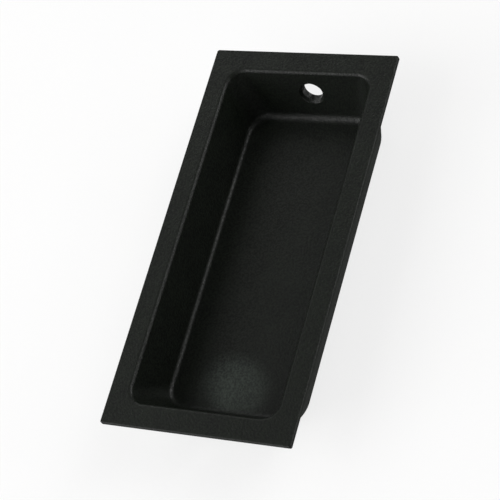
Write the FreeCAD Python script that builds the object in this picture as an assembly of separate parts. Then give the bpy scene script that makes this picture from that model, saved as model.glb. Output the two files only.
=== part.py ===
import FreeCAD, Part
import math
import os

# Rectangular flush pull for a sliding or pocket door, cast in one piece.
# Millimetres. +Z points out of the door, +Y runs up the pull's length, +X to the right.
# Z = 0 is the door's face, which the underside of the flange seats on.

# Flange
flange_length = 92.075
flange_width = 44.45
flange_thickness = 1.0
flange_corner_radius = 0.4
flange_arris_radius = 0.2

# Border of the flange round the mouth, up to where the walls would meet the front face
end_border = 5.24
side_border = 4.92
mouth_corner_radius = 3.6
lip_radius = 0.9

# Inside of the recess: depth below the front face, draft of the walls in degrees, and the floor's
# corners where its plane would meet the walls
recess_depth = 12.4
end_draft = 19.1
side_draft = 9.2
floor_corner_radius = 5.4
side_cove_radius = 1.15
end_cove_radius = 2.0

# Metal behind the recess
wall_thickness = 2.2
floor_thickness = 2.0
back_edge_radius = 2.0
root_radius = 0.5

# Slanted, countersunk screw hole through each end wall, a little right of the centre line
screw_hole_diameter = 4.9
screw_hole_level = -4.6
screw_hole_offset = 1.2
screw_slant = 15.0
countersink_diameter = 6.0
countersink_angle = 90.0

# Levels, slopes and the recess's outline, worked out from the sizes above
front_z = flange_thickness
floor_z = front_z - recess_depth
back_z = floor_z - floor_thickness
end_slope = math.radians(end_draft)
side_slope = math.radians(side_draft)
mouth_length = flange_length - 2 * end_border
mouth_width = flange_width - 2 * side_border
floor_length = mouth_length - 2 * recess_depth * math.tan(end_slope)

# How close an edge must lie to a drawn outline to count as running along it
match = 0.001


def rounded_rectangle(length, width, radius, z):
    """Closed wire at height z, long along Y, with tangent corner arcs."""
    x = width / 2 - radius
    y = length / 2 - radius
    quarter = math.pi / 2
    edges = []
    previous = None
    for turn, (centre_x, centre_y) in enumerate([(x, y), (-x, y), (-x, -y), (x, -y)]):
        centre = FreeCAD.Vector(centre_x, centre_y, z)
        start, middle, end = [
            centre + FreeCAD.Vector(radius * math.cos(angle), radius * math.sin(angle), 0)
            for angle in (turn * quarter, (turn + 0.5) * quarter, (turn + 1) * quarter)
        ]
        if previous is not None:
            edges.append(Part.makeLine(previous, start))
        edges.append(Part.Arc(start, middle, end).toShape())
        previous = end
    edges.append(Part.makeLine(previous, edges[0].Vertexes[0].Point))
    return Part.Wire(edges)


def recess_outline(z, metal=0.0):
    """Outline of the recess at height z, or of the pan around it when metal is its wall."""
    depth = front_z - z
    length = mouth_length - 2 * depth * math.tan(end_slope) + 2 * metal / math.cos(end_slope)
    width = mouth_width - 2 * depth * math.tan(side_slope) + 2 * metal / math.cos(side_slope)
    growth = (floor_corner_radius - mouth_corner_radius) / recess_depth
    radius = mouth_corner_radius + growth * depth + metal
    return rounded_rectangle(length, width, radius, z)


def tapered_block(low_outline, high_outline):
    """Solid from one outline up to the other, its walls flat and its corners ruled."""
    faces = [Part.Face(low_outline), Part.Face(high_outline)]
    for low, high in zip(low_outline.Edges, high_outline.Edges):
        if isinstance(low.Curve, Part.Circle):
            faces.append(Part.makeRuledSurface(low, high))
        else:
            corners = [vertex.Point for vertex in low.Vertexes + high.Vertexes[::-1]]
            faces.append(Part.Face(Part.makePolygon(corners + corners[:1])))
    shell = Part.makeShell(faces)
    shell.sewShape()
    return Part.makeSolid(shell).removeSplitter()


def runs_along(edge, outline):
    """True where both ends and the middle of an edge lie on an outline."""
    first = edge.FirstParameter
    last = edge.LastParameter
    points = [edge.valueAt(parameter) for parameter in (first, (first + last) / 2, last)]
    return all(outline.distToShape(Part.Vertex(point))[0] < match for point in points)


def round_along(solid, outline, radius):
    """Fillet of one radius along an outline."""
    return solid.makeFillet(radius, [edge for edge in solid.Edges if runs_along(edge, outline)])


def flange():
    """Flat plate with nearly square corners and its front arris just broken."""
    outline = rounded_rectangle(flange_length, flange_width, flange_corner_radius, 0)
    plate = Part.Face(outline).extrude(FreeCAD.Vector(0, 0, flange_thickness))
    front = rounded_rectangle(flange_length, flange_width, flange_corner_radius, front_z)
    return round_along(plate, front, flange_arris_radius)


def pan_block():
    """The pan behind the flange as a tapered block, its back edge well rounded."""
    back = recess_outline(back_z, wall_thickness)
    block = tapered_block(back, recess_outline(0, wall_thickness))
    return round_along(block, back, back_edge_radius)


def recess_block():
    """Space of the recess, taken on past the front face so that it opens the mouth cleanly."""
    return tapered_block(recess_outline(floor_z), recess_outline(front_z + flange_thickness))


def cove_floor(solid):
    """Cove between floor and walls, which widens round each corner from the sides to the ends."""
    outline = recess_outline(floor_z)
    coves = []
    for number, edge in enumerate(solid.Edges, start=1):
        if not runs_along(edge, outline):
            continue
        ends = [edge.valueAt(edge.FirstParameter), edge.valueAt(edge.LastParameter)]
        at_end_wall = [abs(point.y) > floor_length / 2 - match for point in ends]
        radii = [end_cove_radius if here else side_cove_radius for here in at_end_wall]
        coves.append((number, radii[0], radii[1]))
    document = FreeCAD.newDocument("pull")
    sharp = document.addObject("Part::Feature", "sharp")
    sharp.Shape = solid
    coved = document.addObject("Part::Fillet", "coved")
    coved.Base = sharp
    coved.Edges = coves
    document.recompute()
    shape = coved.Shape.copy()
    FreeCAD.closeDocument(document.Name)
    return shape


def screw_hole(end):
    """Space of one countersunk screw hole and the head's way in, end +1 at the top, -1 at the bottom."""
    hole_radius = screw_hole_diameter / 2
    head_radius = countersink_diameter / 2
    cone_depth = (head_radius - hole_radius) / math.tan(math.radians(countersink_angle / 2))
    reach = 3 * wall_thickness
    profile = [
        (0, -reach),
        (head_radius, -reach),
        (head_radius, 0),
        (hole_radius, cone_depth),
        (hole_radius, reach),
        (0, reach),
        (0, -reach),
    ]
    outline = Part.makePolygon([FreeCAD.Vector(radius, 0, depth) for radius, depth in profile])
    space = Part.Face(outline).revolve(FreeCAD.Vector(0, 0, 0), FreeCAD.Vector(0, 0, 1), 360)
    slant = math.radians(screw_slant)
    outwards = FreeCAD.Vector(0, end * math.cos(slant), -math.sin(slant))
    wall_y = mouth_length / 2 - (front_z - screw_hole_level) * math.tan(end_slope)
    on_wall = FreeCAD.Vector(screw_hole_offset, end * wall_y, screw_hole_level)
    turn = FreeCAD.Rotation(FreeCAD.Vector(0, 0, 1), outwards)
    return space.transformed(FreeCAD.Placement(on_wall, turn).toMatrix())


def flush_pull():
    """The whole casting: flange and pan, hollowed, rolled at the lip, coved and drilled."""
    solid = flange().fuse(pan_block())
    solid = round_along(solid, recess_outline(0, wall_thickness), root_radius)
    solid = solid.cut(recess_block())
    solid = round_along(solid, recess_outline(front_z), lip_radius)
    solid = cove_floor(solid)
    for end in (1, -1):
        solid = solid.cut(screw_hole(end))
    return solid.Solids[0]


os.makedirs("parts", exist_ok=True)
flush_pull().exportStep("parts/flush_pull.step")
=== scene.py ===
import math

import bpy
from mathutils import Matrix, Vector


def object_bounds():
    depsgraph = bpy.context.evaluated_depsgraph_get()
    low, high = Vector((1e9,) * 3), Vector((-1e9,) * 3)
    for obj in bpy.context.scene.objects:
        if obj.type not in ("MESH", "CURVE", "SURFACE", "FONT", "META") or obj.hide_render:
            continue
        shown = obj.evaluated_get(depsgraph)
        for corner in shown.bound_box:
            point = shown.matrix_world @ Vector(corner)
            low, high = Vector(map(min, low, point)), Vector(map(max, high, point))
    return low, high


# A satin black flush pull for a sliding door, lying on its pan on a white table.
# Lengths are in metres, in the part's own frame.

# Camera, solved from the flange's corners in the photograph
CAMERA_PLACE = Vector((0.18940, -0.16370, 0.34390))
CAMERA_RIGHT = Vector((0.89180557, 0.26325417, -0.36794030))
CAMERA_DOWN = Vector((0.07399391, -0.88719378, -0.45542519))
CAMERA_LENS_MM = 143.07
SENSOR_MM = 36.0
NEAREST_SHOWN = 0.01
FARTHEST_SHOWN = 20.0

# Table under the pull: a sheet of white card
TABLE_SIZE = 4.0
TABLE_CLEARANCE = 0.00001
TABLE_PALE = (0.950, 0.950, 0.945, 1.0)
TABLE_DEEP = (0.925, 0.926, 0.922, 1.0)
TABLE_ROUGHNESS = 0.8
TABLE_TOOTH_SIZE = 0.0012
TABLE_MOTTLE_SIZE = 0.030
TABLE_TOOTH_HEIGHT = 0.00002

# How much of the card's look to the camera and in mirrors is plain white.
# The rest is its lit colour and shadow.
CARD_WHITENESS = 0.75
PLAIN_WHITE = (1.0, 1.0, 1.0, 1.0)
PLAIN_STRENGTH = 1.0

# Paint: satin black, with a faint green cast, orange peel and a fine grain
PAINT_DEEP = (0.0001, 0.0006, 0.0001, 1.0)
PAINT_PALE = (0.0095, 0.0123, 0.0087, 1.0)
PAINT_INDEX = 1.33
PAINT_ROUGHNESS_LOW = 0.31
PAINT_ROUGHNESS_HIGH = 0.51
PAINT_GRAIN_SIZE = 0.00044
PAINT_MOTTLE_SIZE = 0.006
PAINT_GRAIN_HEIGHT = 0.00009
MOTTLE_SHARE = 0.25

# Grain of both surfaces. It is turned askew, in radians, so that its cells line up with none of the faces.
GRAIN_TURN = (0.55, 0.35, 0.80)
GRAIN_DETAIL = 2.0
GRAIN_SPREAD = (0.38, 0.62)
MOTTLE_DETAIL = 3.0
MOTTLE_SPREAD = (0.3, 0.7)
PEEL_TO_GRAIN = 2.5
PEEL_DETAIL = 1.0
PEEL_SHARE = 0.25

# The pan's outside, the underside and the flange's edges have one thin dull coat. They face down or level.
DULL_ROUGHNESS = 0.90
LEVEL_FACE = 0.08

# Studio lamps: name, azimuth and elevation in degrees as seen from the pull, width in metres, watts
LAMP_DISTANCE = 1.0
STUDIO_LAMPS = [
    ("left_box", -164.0, 30.0, 0.60, 2.2),
    ("left_high_box", 180.0, 46.0, 0.60, 1.0),
    ("back_left_box", 127.0, 31.0, 0.55, 1.5),
    ("right_back_low_box", 52.0, 25.0, 0.35, 2.4),
    ("right_back_box", 42.0, 46.0, 0.35, 2.0),
    ("right_back_high_box", 45.0, 66.0, 0.40, 0.7),
    ("right_low_box", 10.0, 16.0, 0.40, 1.9),
    ("front_right_box", -50.0, 15.0, 0.45, 0.4),
    ("front_box", -95.0, 32.0, 0.50, 1.3),
    ("front_low_box", -115.0, 14.0, 0.45, 0.8),
    ("front_left_box", -136.0, 51.0, 0.45, 1.9),
    ("front_left_low_box", -142.0, 21.0, 0.50, 4.2),
]

# Snooted lamp that puts the glow on the bottom of the recess's floor
GLOW_CENTRE = Vector((0.0000, -0.0301, -0.0114))
GLOW_TOWARDS = Vector((-0.448, 0.317, 0.839))
GLOW_DISTANCE = 0.6
GLOW_RADIUS = 0.0078
GLOW_SOFTNESS = 0.8
GLOW_WATTS = 1.58
GLOW_LAMP_RADIUS = 0.002
GLOW_COLOUR = (0.82, 1.0, 0.87)

# Faint light from all round, which keeps the deepest shadows from going quite black
WORLD_STRENGTH = 0.03


def make_camera():
    data = bpy.data.cameras.new("camera")
    data.lens = CAMERA_LENS_MM
    data.sensor_width = SENSOR_MM
    data.sensor_fit = "HORIZONTAL"
    data.clip_start = NEAREST_SHOWN
    data.clip_end = FARTHEST_SHOWN
    camera = bpy.data.objects.new("camera", data)
    bpy.context.scene.collection.objects.link(camera)
    right = CAMERA_RIGHT.normalized()
    up = -CAMERA_DOWN.normalized()
    back = right.cross(up).normalized()
    turned = Matrix((right, up, back)).transposed().to_4x4()
    camera.matrix_world = Matrix.Translation(CAMERA_PLACE) @ turned
    bpy.context.scene.camera = camera
    return camera


def connect(tree, source, socket):
    """Feeds a socket from an output, or sets it where the source is a plain value."""
    if isinstance(source, bpy.types.NodeSocket):
        tree.links.new(source, socket)
    else:
        socket.default_value = source


def arithmetic(tree, operation, first, second=0.0):
    node = tree.nodes.new("ShaderNodeMath")
    node.operation = operation
    connect(tree, first, node.inputs[0])
    connect(tree, second, node.inputs[1])
    return node.outputs["Value"]


def noise(tree, vector, cell_size, detail):
    """Noise between 0 and 1 with cells about as many metres across as cell_size."""
    node = tree.nodes.new("ShaderNodeTexNoise")
    node.inputs["Detail"].default_value = detail
    connect(tree, vector, node.inputs["Vector"])
    connect(tree, arithmetic(tree, "DIVIDE", 1.0, cell_size), node.inputs["Scale"])
    return node.outputs["Fac"]


def spread(tree, value, low, high, new_low, new_high):
    """Maps the range from low to high to the one from new_low to new_high, and goes no further."""
    node = tree.nodes.new("ShaderNodeMapRange")
    node.clamp = True
    for number, source in enumerate((value, low, high, new_low, new_high)):
        connect(tree, source, node.inputs[number])
    return node.outputs["Result"]


def blend_colours(tree, factor, first, second):
    """Blends two colours. The node's colour sockets share their names with others, so they go by number."""
    node = tree.nodes.new("ShaderNodeMix")
    node.data_type = "RGBA"
    connect(tree, factor, node.inputs["Factor"])
    connect(tree, first, node.inputs[6])
    connect(tree, second, node.inputs[7])
    return node.outputs[2]


def fine_grain_group():
    """Grain of a sprayed or pressed surface: slow mottle, fine grain, and the height of grain and peel."""
    tree = bpy.data.node_groups.new("fine_grain", "ShaderNodeTree")
    tree.interface.new_socket("Vector", in_out="INPUT", socket_type="NodeSocketVector")
    tree.interface.new_socket("Grain Size", in_out="INPUT", socket_type="NodeSocketFloat")
    tree.interface.new_socket("Mottle Size", in_out="INPUT", socket_type="NodeSocketFloat")
    tree.interface.new_socket("Mottle", in_out="OUTPUT", socket_type="NodeSocketFloat")
    tree.interface.new_socket("Grain", in_out="OUTPUT", socket_type="NodeSocketFloat")
    tree.interface.new_socket("Height", in_out="OUTPUT", socket_type="NodeSocketFloat")
    entry = tree.nodes.new("NodeGroupInput")
    result = tree.nodes.new("NodeGroupOutput")
    turned = tree.nodes.new("ShaderNodeMapping")
    turned.inputs["Rotation"].default_value = GRAIN_TURN
    tree.links.new(entry.outputs["Vector"], turned.inputs["Vector"])
    vector = turned.outputs["Vector"]
    grain_size = entry.outputs["Grain Size"]
    mottle = noise(tree, vector, entry.outputs["Mottle Size"], MOTTLE_DETAIL)
    grain = noise(tree, vector, grain_size, GRAIN_DETAIL)
    peel_size = arithmetic(tree, "MULTIPLY", grain_size, PEEL_TO_GRAIN)
    peel = noise(tree, vector, peel_size, PEEL_DETAIL)
    height = arithmetic(tree, "ADD", arithmetic(tree, "MULTIPLY", peel, PEEL_SHARE), grain)
    tree.links.new(spread(tree, mottle, *MOTTLE_SPREAD, 0.0, 1.0), result.inputs["Mottle"])
    tree.links.new(spread(tree, grain, *GRAIN_SPREAD, 0.0, 1.0), result.inputs["Grain"])
    tree.links.new(height, result.inputs["Height"])
    return tree


def place_grain(tree, grain_group, vector, grain_size, mottle_size):
    node = tree.nodes.new("ShaderNodeGroup")
    node.node_tree = grain_group
    node.inputs["Grain Size"].default_value = grain_size
    node.inputs["Mottle Size"].default_value = mottle_size
    tree.links.new(vector, node.inputs["Vector"])
    return node


def bump(tree, shader, height, distance):
    node = tree.nodes.new("ShaderNodeBump")
    node.inputs["Distance"].default_value = distance
    tree.links.new(height, node.inputs["Height"])
    tree.links.new(node.outputs["Normal"], shader.inputs["Normal"])


def unseen_side(tree, normal):
    """1 where the surface faces down or level, 0 in the recess and on the flange's front."""
    axes = tree.nodes.new("ShaderNodeSeparateXYZ")
    tree.links.new(normal, axes.inputs["Vector"])
    return arithmetic(tree, "LESS_THAN", axes.outputs["Z"], LEVEL_FACE)


def black_paint(grain_group):
    material = bpy.data.materials.new("satin_black_paint")
    material.use_nodes = True
    tree = material.node_tree
    shader = tree.nodes["Principled BSDF"]
    shader.inputs["IOR"].default_value = PAINT_INDEX
    surface = tree.nodes.new("ShaderNodeTexCoord").outputs
    grain = place_grain(tree, grain_group, surface["Object"], PAINT_GRAIN_SIZE, PAINT_MOTTLE_SIZE)
    mottle_part = arithmetic(tree, "MULTIPLY", grain.outputs["Mottle"], MOTTLE_SHARE)
    grain_part = arithmetic(tree, "MULTIPLY", grain.outputs["Grain"], 1.0 - MOTTLE_SHARE)
    tone = arithmetic(tree, "ADD", mottle_part, grain_part)
    tree.links.new(blend_colours(tree, tone, PAINT_DEEP, PAINT_PALE), shader.inputs["Base Color"])
    satin = spread(tree, tone, 0.0, 1.0, PAINT_ROUGHNESS_HIGH, PAINT_ROUGHNESS_LOW)
    roughness = spread(tree, unseen_side(tree, surface["Normal"]), 0.0, 1.0, satin, DULL_ROUGHNESS)
    tree.links.new(roughness, shader.inputs["Roughness"])
    bump(tree, shader, grain.outputs["Height"], PAINT_GRAIN_HEIGHT)
    return material


def white_card(grain_group):
    material = bpy.data.materials.new("white_card")
    material.use_nodes = True
    tree = material.node_tree
    shader = tree.nodes["Principled BSDF"]
    shader.inputs["Roughness"].default_value = TABLE_ROUGHNESS
    coordinates = tree.nodes.new("ShaderNodeTexCoord").outputs["Object"]
    grain = place_grain(tree, grain_group, coordinates, TABLE_TOOTH_SIZE, TABLE_MOTTLE_SIZE)
    colour = blend_colours(tree, grain.outputs["Mottle"], TABLE_DEEP, TABLE_PALE)
    tree.links.new(colour, shader.inputs["Base Color"])
    bump(tree, shader, grain.outputs["Height"], TABLE_TOOTH_HEIGHT)
    whiten(tree, shader)
    return material


def whiten(tree, shader):
    """Mixes plain white into what the camera and mirroring surfaces see, but lights nothing with it."""
    white = tree.nodes.new("ShaderNodeEmission")
    white.inputs["Color"].default_value = PLAIN_WHITE
    white.inputs["Strength"].default_value = PLAIN_STRENGTH
    path = tree.nodes.new("ShaderNodeLightPath").outputs
    seen = arithmetic(tree, "MAXIMUM", path["Is Camera Ray"], path["Is Glossy Ray"])
    seen = arithmetic(tree, "MAXIMUM", seen, path["Is Transmission Ray"])
    mixed = tree.nodes.new("ShaderNodeMixShader")
    tree.links.new(arithmetic(tree, "MULTIPLY", seen, CARD_WHITENESS), mixed.inputs["Fac"])
    tree.links.new(shader.outputs["BSDF"], mixed.inputs[1])
    tree.links.new(white.outputs["Emission"], mixed.inputs[2])
    tree.links.new(mixed.outputs["Shader"], tree.nodes["Material Output"].inputs["Surface"])


def make_table(height, material):
    bpy.ops.object.select_all(action="DESELECT")
    bpy.ops.mesh.primitive_plane_add(size=TABLE_SIZE, location=(0.0, 0.0, height))
    table = bpy.context.object
    table.name = "table"
    table.data.materials.append(material)
    return table


def aim(lamp, place, direction):
    """Stands a lamp at a place, with its light going back along the direction."""
    lamp.location = place
    lamp.rotation_euler = direction.to_track_quat("Z", "Y").to_euler()
    bpy.context.scene.collection.objects.link(lamp)


def box_lamp(name, azimuth, elevation, width, watts):
    data = bpy.data.lights.new(name, "AREA")
    data.shape = "SQUARE"
    data.size = width
    data.energy = watts
    turned = math.radians(azimuth)
    raised = math.radians(elevation)
    level = math.cos(raised)
    direction = Vector((level * math.cos(turned), level * math.sin(turned), math.sin(raised)))
    aim(bpy.data.objects.new(name, data), direction * LAMP_DISTANCE, direction)


def glow_lamp():
    data = bpy.data.lights.new("snooted_lamp", "SPOT")
    data.energy = GLOW_WATTS
    data.spot_size = 2.0 * math.atan(GLOW_RADIUS / GLOW_DISTANCE)
    data.spot_blend = GLOW_SOFTNESS
    data.shadow_soft_size = GLOW_LAMP_RADIUS
    data.color = GLOW_COLOUR
    direction = GLOW_TOWARDS.normalized()
    place = GLOW_CENTRE + direction * GLOW_DISTANCE
    aim(bpy.data.objects.new("snooted_lamp", data), place, direction)


def light_studio():
    world = bpy.data.worlds.new("studio")
    bpy.context.scene.world = world
    world.use_nodes = True
    background = world.node_tree.nodes["Background"]
    background.inputs["Color"].default_value = PLAIN_WHITE
    background.inputs["Strength"].default_value = WORLD_STRENGTH
    for name, azimuth, elevation, width, watts in STUDIO_LAMPS:
        box_lamp(name, azimuth, elevation, width, watts)
    glow_lamp()


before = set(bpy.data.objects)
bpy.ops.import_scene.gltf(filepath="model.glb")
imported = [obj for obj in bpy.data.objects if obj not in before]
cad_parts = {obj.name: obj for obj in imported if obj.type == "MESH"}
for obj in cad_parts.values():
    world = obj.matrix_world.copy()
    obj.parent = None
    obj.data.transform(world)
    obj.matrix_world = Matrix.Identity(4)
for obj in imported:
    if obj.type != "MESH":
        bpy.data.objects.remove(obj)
cad_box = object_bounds()
fine_grain = fine_grain_group()
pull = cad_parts["flush_pull"]
pull.data.materials.clear()
pull.data.materials.append(black_paint(fine_grain))

make_camera()
make_table(cad_box[0].z - TABLE_CLEARANCE, white_card(fine_grain))
light_studio()

view = bpy.context.scene.view_settings
view.view_transform = "Standard"
